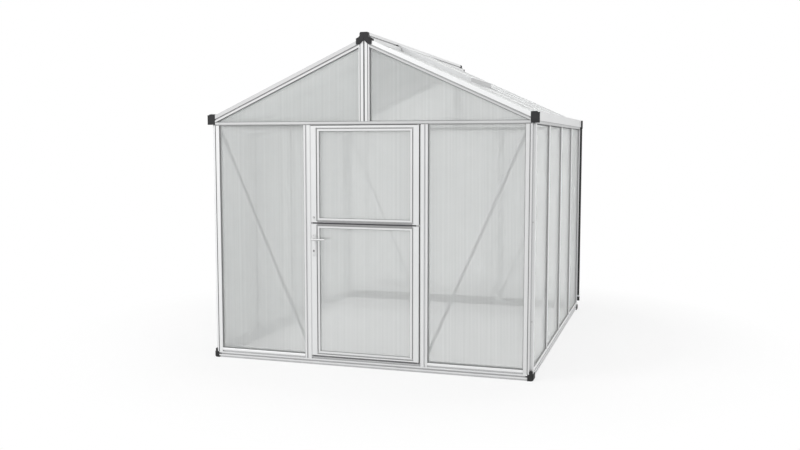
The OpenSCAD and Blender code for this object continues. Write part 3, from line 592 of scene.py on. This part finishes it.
# front and back edge of each side pane
bays = [(69, 735.75), (761.75, 1484.5), (1510.5, 2233.25), (2259.25, 2926)]
ventBay = 1  # the vent is over the second one


def place(x, y, z):
    return (x / 1000, y / 1000 - midY, z / 1000)


def corners(x, y, z):  # low and high corner of three spans
    return place(x[0], y[0], z[0]), place(x[1], y[1], z[1])


def onSide(side, span):
    return sorted((side * span[0], side * span[1]))


def fromBack(span):
    return houseDepth - span[1], houseDepth - span[0]


glazing = {
    "width": 0.003,
    "round": 0.0007,
    "paneFace": 10,            # depth of the panes behind the face of the frame
    "thick": 3,
    "wallZ": (78, 1850),
    "cornerX": (492, 1209),
    "backDoorX": (-438, 438),
    "gableX": (42, 1243),
    "gableZ": (1874, 2420),
    "roofX": (62.5, 1256),
    "underVent": (650, 1256),
    "roofEnd": 45.5,           # first and last roof panes reach further than the walls'
    "roofTop": 2484.85,        # height of the panes' upper face, carried to the middle
    "roofGap": 0.2,
    "ventX": (91, 620),
    "ventY": (763.75, 1482.5),
    "ventRise": 35,
    "leafX": (-366, 359),
    "lowerLeafZ": (109, 1067),
    "upperLeafZ": (1142, 1804),
}


def sealRing(name, low, high, axis, cut=None):  # a frame of rubber on the edge of a pane
    ring = addBox(name, low, high)
    if cut:
        trimPiece(ring, *cut)
    selectFaces(ring, lambda face: abs(face.normal[axis]) > squareOn)
    bpy.ops.mesh.inset(thickness=glazing["width"])
    bpy.ops.mesh.bridge_edge_loops()
    bpy.ops.mesh.select_all(action="SELECT")
    bpy.ops.mesh.normals_make_consistent(inside=False)
    leaveEdit()
    softenEdges(ring, glazing["round"], segments=1)
    return ring


def sealDepth(back):
    span = (glazing["paneFace"] - glazing["thick"], glazing["paneFace"])
    return fromBack(span) if back else span


def endSeal(name, x, z, back=False):
    return sealRing(name, *corners(x, sealDepth(back), z), alongY)


def sideSeal(name, side, y):
    inner = houseHalf - glazing["paneFace"]
    x = onSide(side, (inner, inner + glazing["thick"]))
    return sealRing(name, *corners(x, y, glazing["wallZ"]), alongX)


def gableSeal(name, side, back):
    x = onSide(side, glazing["gableX"])
    foot = place(side * glazing["gableX"][1], 0, glazing["gableZ"][0])
    slope = (side * math.sin(roofPitch), 0, math.cos(roofPitch))
    box = corners(x, sealDepth(back), glazing["gableZ"])
    return sealRing(name, *box, alongY, (foot, slope))


def roofSeal(name, side, x, y, rise=glazing["roofGap"]):  # drawn flat, then laid on the slope
    run = onSide(side, [edge / math.cos(roofPitch) for edge in x])
    ring = sealRing(name, *corners(run, y, (0, glazing["thick"])), upright)
    lift = (glazing["roofTop"] + rise / math.cos(roofPitch)) / 1000
    ring.data.transform(Matrix.Translation((0, 0, lift)) @ Matrix.Rotation(side * roofPitch, 4, "Y"))
    return ring


def makeGlazingSeals():
    rings = []
    sides = []
    slopes = []
    for side in (-1, 1):
        x = onSide(side, glazing["cornerX"])
        rings.append(endSeal("frontSeal", x, glazing["wallZ"]))
        rings.append(endSeal("backSeal", x, glazing["wallZ"], True))
        rings.append(gableSeal("frontGableSeal", side, False))
        rings.append(gableSeal("backGableSeal", side, True))
        for bay, (y0, y1) in enumerate(bays):
            sides.append(sideSeal("sideSeal", side, (y0, y1)))
            if bay == 0:
                y0 = glazing["roofEnd"]
            if bay == len(bays) - 1:
                y1 = houseDepth - glazing["roofEnd"]
            run = glazing["underVent"] if side == 1 and bay == ventBay else glazing["roofX"]
            slopes.append(roofSeal("roofSeal", side, run, (y0, y1)))
    rings.append(endSeal("backDoorSeal", glazing["backDoorX"], glazing["wallZ"], True))
    ventRise = glazing["ventRise"] * math.cos(roofPitch) + glazing["roofGap"]
    slopes.append(roofSeal("ventSeal", 1, glazing["ventX"], glazing["ventY"], ventRise))
    dress(joinPieces(rings, "glazingSeals"), paneRubber, "house")
    dress(joinPieces(sides, "sideSeals"), lipRubber, "house")
    dress(joinPieces(slopes, "roofSeals"), roofRubber, "house")
    lowerSeal = endSeal("lowerLeafSeal", glazing["leafX"], glazing["lowerLeafZ"])
    dress(lowerSeal, paneRubber, "lower_leaf")
    upperSeal = endSeal("upperLeafSeal", glazing["leafX"], glazing["upperLeafZ"])
    dress(upperSeal, paneRubber, "upper_leaf")


strip = {"lip": 0.0003, "round": 0.0002}


def sealStrip(name, low, high):  # a strip with a groove along its outer face
    piece = addBox(name, place(*low), place(*high))
    selectFaces(piece, lambda face: face.normal.y < -squareOn)
    bpy.ops.mesh.inset(thickness=strip["lip"])
    bpy.ops.mesh.extrude_region_move(TRANSFORM_OT_translate={"value": (0, strip["lip"], 0)})
    leaveEdit()
    softenEdges(piece, strip["round"], segments=1)
    return piece


doorSeals = {  # low and high corner
    "hingeSeal": ((427, 19, 75), (438, 29, 1845)),
    "headSeal": ((-433, 12, 1846), (438, 29, 1850)),
    "footSeal": ((-433, 12, 69), (438, 29, 73)),
    "hingeLip": ((434, 1.5, 72), (437.8, 18, 1844)),
    "latchSeal": ((-438, 1.5, 72), (-433.5, 12, 1844)),
    "splitSeal": ((-424, 12, 1098), (400, 20, 1107)),
    # painted shade: grey strips on the rail faces on either side of the split
    "lowerSplitShade": ((-382, -1, 1088), (375, 0, 1098)),
    "upperSplitShade": ((-382, -1, 1110), (375, 0, 1118)),
}


def makeDoorSeals():
    strips = [sealStrip(name, *doorSeals[name]) for name in ("hingeSeal", "headSeal", "footSeal")]
    dress(joinPieces(strips, "doorwaySeals"), darkRubber, "house")
    for name, rubber, body in (
            ("hingeLip", paleRubber, "house"),
            ("latchSeal", paleRubber, "house"),
            ("splitSeal", shadeRubber, "lower_leaf"),
            ("lowerSplitShade", lipRubber, "lower_leaf"),
            ("upperSplitShade", lipRubber, "upper_leaf")):
        dress(sealStrip(name, *doorSeals[name]), rubber, body)


screw = {
    "radius": 0.0045, "height": 0.0024, "sides": 16, "round": 0.0005,
    "recess": 0.0013, "rim": 0.5,  # the rim as a share of the radius
    "postX": 1266, "postY": (30, 2965), "postZ": (430, 1150),
    "braceY": (48, 2947), "braceTop": (1214, 1804), "braceFoot": (467, 105),
    "clip": (1247, 2997.5, 133.5),
    "barX": 1235, "barY": (748.75, 1497.5, 2246.25), "barZ": 1930, "barRun": 8,
    "plateY": (-2.5, 34.5), "plateZ": (857, 1006),
}
toFront, toBack = (0, -1, 0), (0, 1, 0)


def makeScrew():
    deselectAll()
    bpy.ops.mesh.primitive_cylinder_add(
        vertices=screw["sides"], radius=screw["radius"], depth=screw["height"],
        location=(0, 0, screw["height"] / 2))
    head = bpy.context.object
    head.name = "screw"
    applyPlace(head)
    selectFaces(head, lambda face: face.normal.z > squareOn)
    bpy.ops.mesh.inset(thickness=screw["radius"] * screw["rim"])
    bpy.ops.mesh.extrude_region_move(TRANSFORM_OT_translate={"value": (0, 0, -screw["recess"])})
    leaveEdit()
    softenEdges(head, screw["round"])
    return head


def placeScrews(head, name, spots, body):
    pieces = []
    for x, y, z, normal in spots:
        turn = Vector(normal).to_track_quat("Z", "Y").to_matrix().to_4x4()
        pieces.append(placedCopy(head, name, Matrix.Translation(place(x, y, z)) @ turn))
    dress(joinPieces(pieces, name), brushedSteel, body)


def makeScrews():
    head = makeScrew()
    spots = []
    barZ = screw["barZ"] + math.tan(roofPitch) * screw["barRun"]
    for side in (-1, 1):
        for z in screw["postZ"]:
            for y, facing in zip(screw["postY"], (toFront, toBack)):
                spots.append((side * screw["postX"], y, z, facing))
        for y, facing in zip(screw["braceY"], (toBack, toFront)):
            for x, z in (screw["braceTop"], screw["braceFoot"]):
                spots.append((side * x, y, z, facing))
        x, y, z = screw["clip"]
        spots.append((side * x, y, z, toBack))
        slope = (side * math.sin(roofPitch), 0, math.cos(roofPitch))
        for y in screw["barY"]:
            spots.append((side * screw["barX"], y, barZ, slope))
    placeScrews(head, "houseScrews", spots, "house")
    spots = []
    for y, facing in zip(screw["plateY"], (toFront, toBack)):
        spots += [(lockX, y, z, facing) for z in screw["plateZ"]]
    placeScrews(head, "plateScrews", spots, "lower_leaf")
    bpy.data.objects.remove(head)


eaveShadeStrip = {"x": (1269, 1277.5), "z": (1845, 1850)}


def makeEaveShadeStrips():  # painted shadow: a dark strip under each eave rail, between the bars
    strips = []
    z0, z1 = eaveShadeStrip["z"]
    for side in (-1, 1):
        x0, x1 = onSide(side, eaveShadeStrip["x"])
        strips += [sealStrip("eaveShadeStrip", (x0, y0, z0), (x1, y1, z1)) for y0, y1 in bays]
    dress(joinPieces(strips, "eaveShadeStrips"), shadeRubber, "house")


keyMouth = {
    "width": 0.009, "height": 0.018, "y": (-5.3, -4.5), "z": 889,
    "rim": 0.0012, "sides": 24, "round": 0.0002,
}


def makeKeyMouths():  # painted shade: a dark oval for the key slot, on both faces of the lower leaf
    pieces = []
    front = keyMouth["y"]
    for y0, y1 in (front, (leafDepth - front[1], leafDepth - front[0])):
        deselectAll()
        bpy.ops.mesh.primitive_cylinder_add(
            vertices=keyMouth["sides"], radius=0.5, depth=1, rotation=(math.pi / 2, 0, 0))
        mouth = bpy.context.object
        mouth.name = "keyMouth"
        bpy.ops.object.transform_apply(rotation=True)
        mouth.scale = (keyMouth["width"], (y1 - y0) / 1000, keyMouth["height"])  # a tall oval
        mouth.location = place(lockX, (y0 + y1) / 2, keyMouth["z"])
        applyPlace(mouth)
        selectFaces(mouth, lambda face: abs(face.normal.y) > squareOn)
        bpy.ops.mesh.inset(thickness=keyMouth["rim"])
        leaveEdit()
        softenEdges(mouth, keyMouth["round"], segments=1)
        pieces.append(mouth)
    dress(joinPieces(pieces, "keyMouths"), darkRubber, "lower_leaf")


lockFace = {
    "low": (-433.2, 8, 820), "high": (-432, 24, 1050),
    "rim": 0.004, "recess": 0.0006, "round": 0.0003,
}


def makeLockFace():  # face plate of the lock on the edge of the lower leaf
    plate = addBox("lockFace", place(*lockFace["low"]), place(*lockFace["high"]))
    selectFaces(plate, lambda face: face.normal.x < -squareOn)
    bpy.ops.mesh.inset(thickness=lockFace["rim"])
    bpy.ops.mesh.extrude_region_move(TRANSFORM_OT_translate={"value": (lockFace["recess"], 0, 0)})
    leaveEdit()
    softenEdges(plate, lockFace["round"], segments=1)
    dress(plate, brushedSteel, "lower_leaf")


ridgeCover = {  # spans, and trimming lines as two points in the front view
    "crownX": (-33, 33),
    "crownZ": (2485, 2530),
    "crownEdge": ((25, 2530), (33, 2500)),
    "crownY": (-4.3, -2.05),
    "wingX": (0, 61),
    "wingZ": (2440, 2506),
    "wingY": (-4.6, -2.05),
    "shoulder": ((31, 2504), (58, 2489)),
    "foot": ((0, 2472), (60, 2446)),
    "saddleX": (29, 61),
    "saddleZ": (2475, 2506),
    "saddleY": (-2.05, 45),
    "seat": ((31, 2497.2), (62, 2484.2)),
    "round": 0.0025,
    "saddleRound": 0.0008,
}


def cutAlong(obj, side, line, outward):  # trims a piece along a line in its front view
    (x0, z0), (x1, z1) = line
    normal = Vector((side * (z0 - z1), 0, x1 - x0)) * outward
    trimPiece(obj, place(side * x0, 0, z0), normal)


def ridgeBlock(name, side, back):
    x, y, z = (ridgeCover[name + axis] for axis in "XYZ")
    return addBox(name, *corners(onSide(side, x), fromBack(y) if back else y, z))


def makeRidgeCovers():  # full shoulders and a lip over the ends of the ridge
    pieces = []
    for back in (False, True):
        crown = ridgeBlock("crown", 1, back)
        for side in (-1, 1):
            cutAlong(crown, side, ridgeCover["crownEdge"], 1)
            wing = ridgeBlock("wing", side, back)
            cutAlong(wing, side, ridgeCover["shoulder"], 1)
            cutAlong(wing, side, ridgeCover["foot"], -1)
            softenEdges(wing, ridgeCover["round"])
            saddle = ridgeBlock("saddle", side, back)
            cutAlong(saddle, side, ridgeCover["shoulder"], 1)
            cutAlong(saddle, side, ridgeCover["seat"], -1)
            softenEdges(saddle, ridgeCover["saddleRound"])
            pieces += [wing, saddle]
        softenEdges(crown, ridgeCover["round"])
        pieces.append(crown)
    dress(joinPieces(pieces, "ridgeCovers"), capPlastic, "house")


capWing = {"x": (1270, 1284.5), "y": (8, 100), "z": (1.5, 47), "round": 0.006, "roundSteps": 3}


def makeCapWings():  # each base cap runs a little way along the side
    wings = []
    for side in (-1, 1):
        for y in (capWing["y"], fromBack(capWing["y"])):
            wing = addBox("capWing", *corners(onSide(side, capWing["x"]), y, capWing["z"]))
            softenEdges(wing, capWing["round"], capWing["roundSteps"])
            wings.append(wing)
    dress(joinPieces(wings, "capWings"), capPlastic, "house")


grooveStrip = {
    "x": 4.6, "y": (5, 8.8), "z": (1876, 2462),
    "sillLow": (-436, -1, 63.5), "sillHigh": (436, 0, 68.5),
}


def makeGrooveShadeStrips():  # painted shade: dark strips in the slots of the gable posts and on the threshold
    strips = []
    x, (z0, z1) = grooveStrip["x"], grooveStrip["z"]
    for name, (y0, y1) in (
            ("frontGableStrip", grooveStrip["y"]),
            ("backGableStrip", fromBack(grooveStrip["y"]))):
        strips.append(sealStrip(name, (-x, y0, z0), (x, y1, z1)))
    strips.append(sealStrip("sillStrip", grooveStrip["sillLow"], grooveStrip["sillHigh"]))
    dress(joinPieces(strips, "grooveShadeStrips"), shadeRubber, "house")


makeGlazingSeals()
makeRidgeCovers()
makeCapWings()
makeGrooveShadeStrips()
makeDoorSeals()
makeScrews()
makeEaveShadeStrips()
makeKeyMouths()
makeLockFace()
print("seals and screws ready")


# stage: floor, light, camera

stage = {
    "floorSize": 120.0,
    "floorColour": (0.9, 0.9, 0.9),
    "floorRoughness": 0.9,
    "floorGloss": 0.1,
    "whiteNear": 0.76,         # share of plain white beside the house, all of it further out
    "fade": (2.2, 3.3),
    "indoors": (1.25, 1.47),
    "whiteIndoors": 0.5,
    "ambient": 0.48,
}


def seenRays(tree):
    path = tree.nodes.new("ShaderNodeLightPath")
    seen = mathNode(tree, "MAXIMUM", path.outputs["Is Camera Ray"], path.outputs["Is Glossy Ray"])
    return mathNode(tree, "MAXIMUM", seen, path.outputs["Is Transmission Ray"])


def beyond(tree, value, limit):
    return mathNode(tree, "GREATER_THAN", mathNode(tree, "ABSOLUTE", value), limit)


def makeFloor():
    deselectAll()
    bpy.ops.mesh.primitive_plane_add(size=stage["floorSize"], location=(0, 0, 0))
    floor = bpy.context.object
    floor.name = "floor"
    material = bpy.data.materials.new("paleFloor")
    material.use_nodes = True
    tree = material.node_tree
    shader = tree.nodes["Principled BSDF"]
    shader.inputs["Base Color"].default_value = (*stage["floorColour"], 1)
    shader.inputs["Roughness"].default_value = stage["floorRoughness"]
    shader.inputs["Specular IOR Level"].default_value = stage["floorGloss"]
    glow = tree.nodes.new("ShaderNodeEmission")
    coords = tree.nodes.new("ShaderNodeTexCoord")
    distance = tree.nodes.new("ShaderNodeVectorMath")
    distance.operation = "LENGTH"
    tree.links.new(coords.outputs["Object"], distance.inputs[0])
    white = spread(tree, distance.outputs["Value"], stage["whiteNear"], 1.0, *stage["fade"])
    parts = placeParts(tree)
    sideways = beyond(tree, parts["X"], stage["indoors"][0])
    lengthways = beyond(tree, parts["Y"], stage["indoors"][1])
    outside = mathNode(tree, "MAXIMUM", sideways, lengthways)
    outdoors = spread(tree, outside, stage["whiteIndoors"], 1.0, 0.0, 1.0)
    white = mathNode(tree, "MULTIPLY", white, outdoors)
    mix = tree.nodes.new("ShaderNodeMixShader")
    tree.links.new(mathNode(tree, "MULTIPLY", seenRays(tree), white), mix.inputs["Fac"])
    tree.links.new(shader.outputs[0], mix.inputs[1])
    tree.links.new(glow.outputs[0], mix.inputs[2])
    tree.links.new(mix.outputs[0], tree.nodes["Material Output"].inputs["Surface"])
    floor.data.materials.append(material)


def makeWorld():
    world = bpy.data.worlds.new("studio")
    bpy.context.scene.world = world
    world.use_nodes = True
    tree = world.node_tree
    sky = tree.nodes["Background"]
    sky.inputs["Color"].default_value = (1, 1, 1, 1)
    spread(tree, seenRays(tree), stage["ambient"], 1.0, 0.0, 1.0, sky.inputs["Strength"])


lamps = {
    "keyLamp": {"spot": (-4.5, -5.5, 6.5), "target": (0, 0, 1.0), "size": 5.0, "power": 330},
    "rightLamp": {"spot": (6.5, -2.5, 4.0), "target": (0, 0, 1.0), "size": 4.0, "power": 92},
    "topLamp": {"spot": (0.5, 1.5, 7.5), "target": (0, 0, 1.5), "size": 5.0, "power": 155},
}


def addLamp(name, spot, target, size, power):
    lamp = bpy.data.lights.new(name, "AREA")
    lamp.shape = "DISK"
    lamp.size = size
    lamp.energy = power
    obj = bpy.data.objects.new(name, lamp)
    bpy.context.scene.collection.objects.link(obj)
    obj.location = spot
    obj.rotation_euler = (Vector(target) - Vector(spot)).to_track_quat("-Z", "Y").to_euler()


photoView = {
    "place": (2.241, -7.793, 1.712),
    "tilt": 5.236,
    "turn": 17.282,
    "focalPixels": 892.476,
    "imageWidth": 800,
    "sensor": 36.0,
    "reach": 200,
}


def makeCamera():
    camera = bpy.data.cameras.new("photoView")
    camera.sensor_width = photoView["sensor"]
    camera.lens = photoView["focalPixels"] / photoView["imageWidth"] * camera.sensor_width
    camera.clip_end = photoView["reach"]
    obj = bpy.data.objects.new("photoView", camera)
    bpy.context.scene.collection.objects.link(obj)
    obj.location = photoView["place"]
    obj.rotation_euler = (math.radians(90 - photoView["tilt"]), 0, math.radians(photoView["turn"]))
    bpy.context.scene.camera = obj


makeFloor()
makeWorld()
for name, lamp in lamps.items():
    addLamp(name, **lamp)
makeCamera()
bpy.context.scene.view_settings.view_transform = "Standard"
print("stage ready")
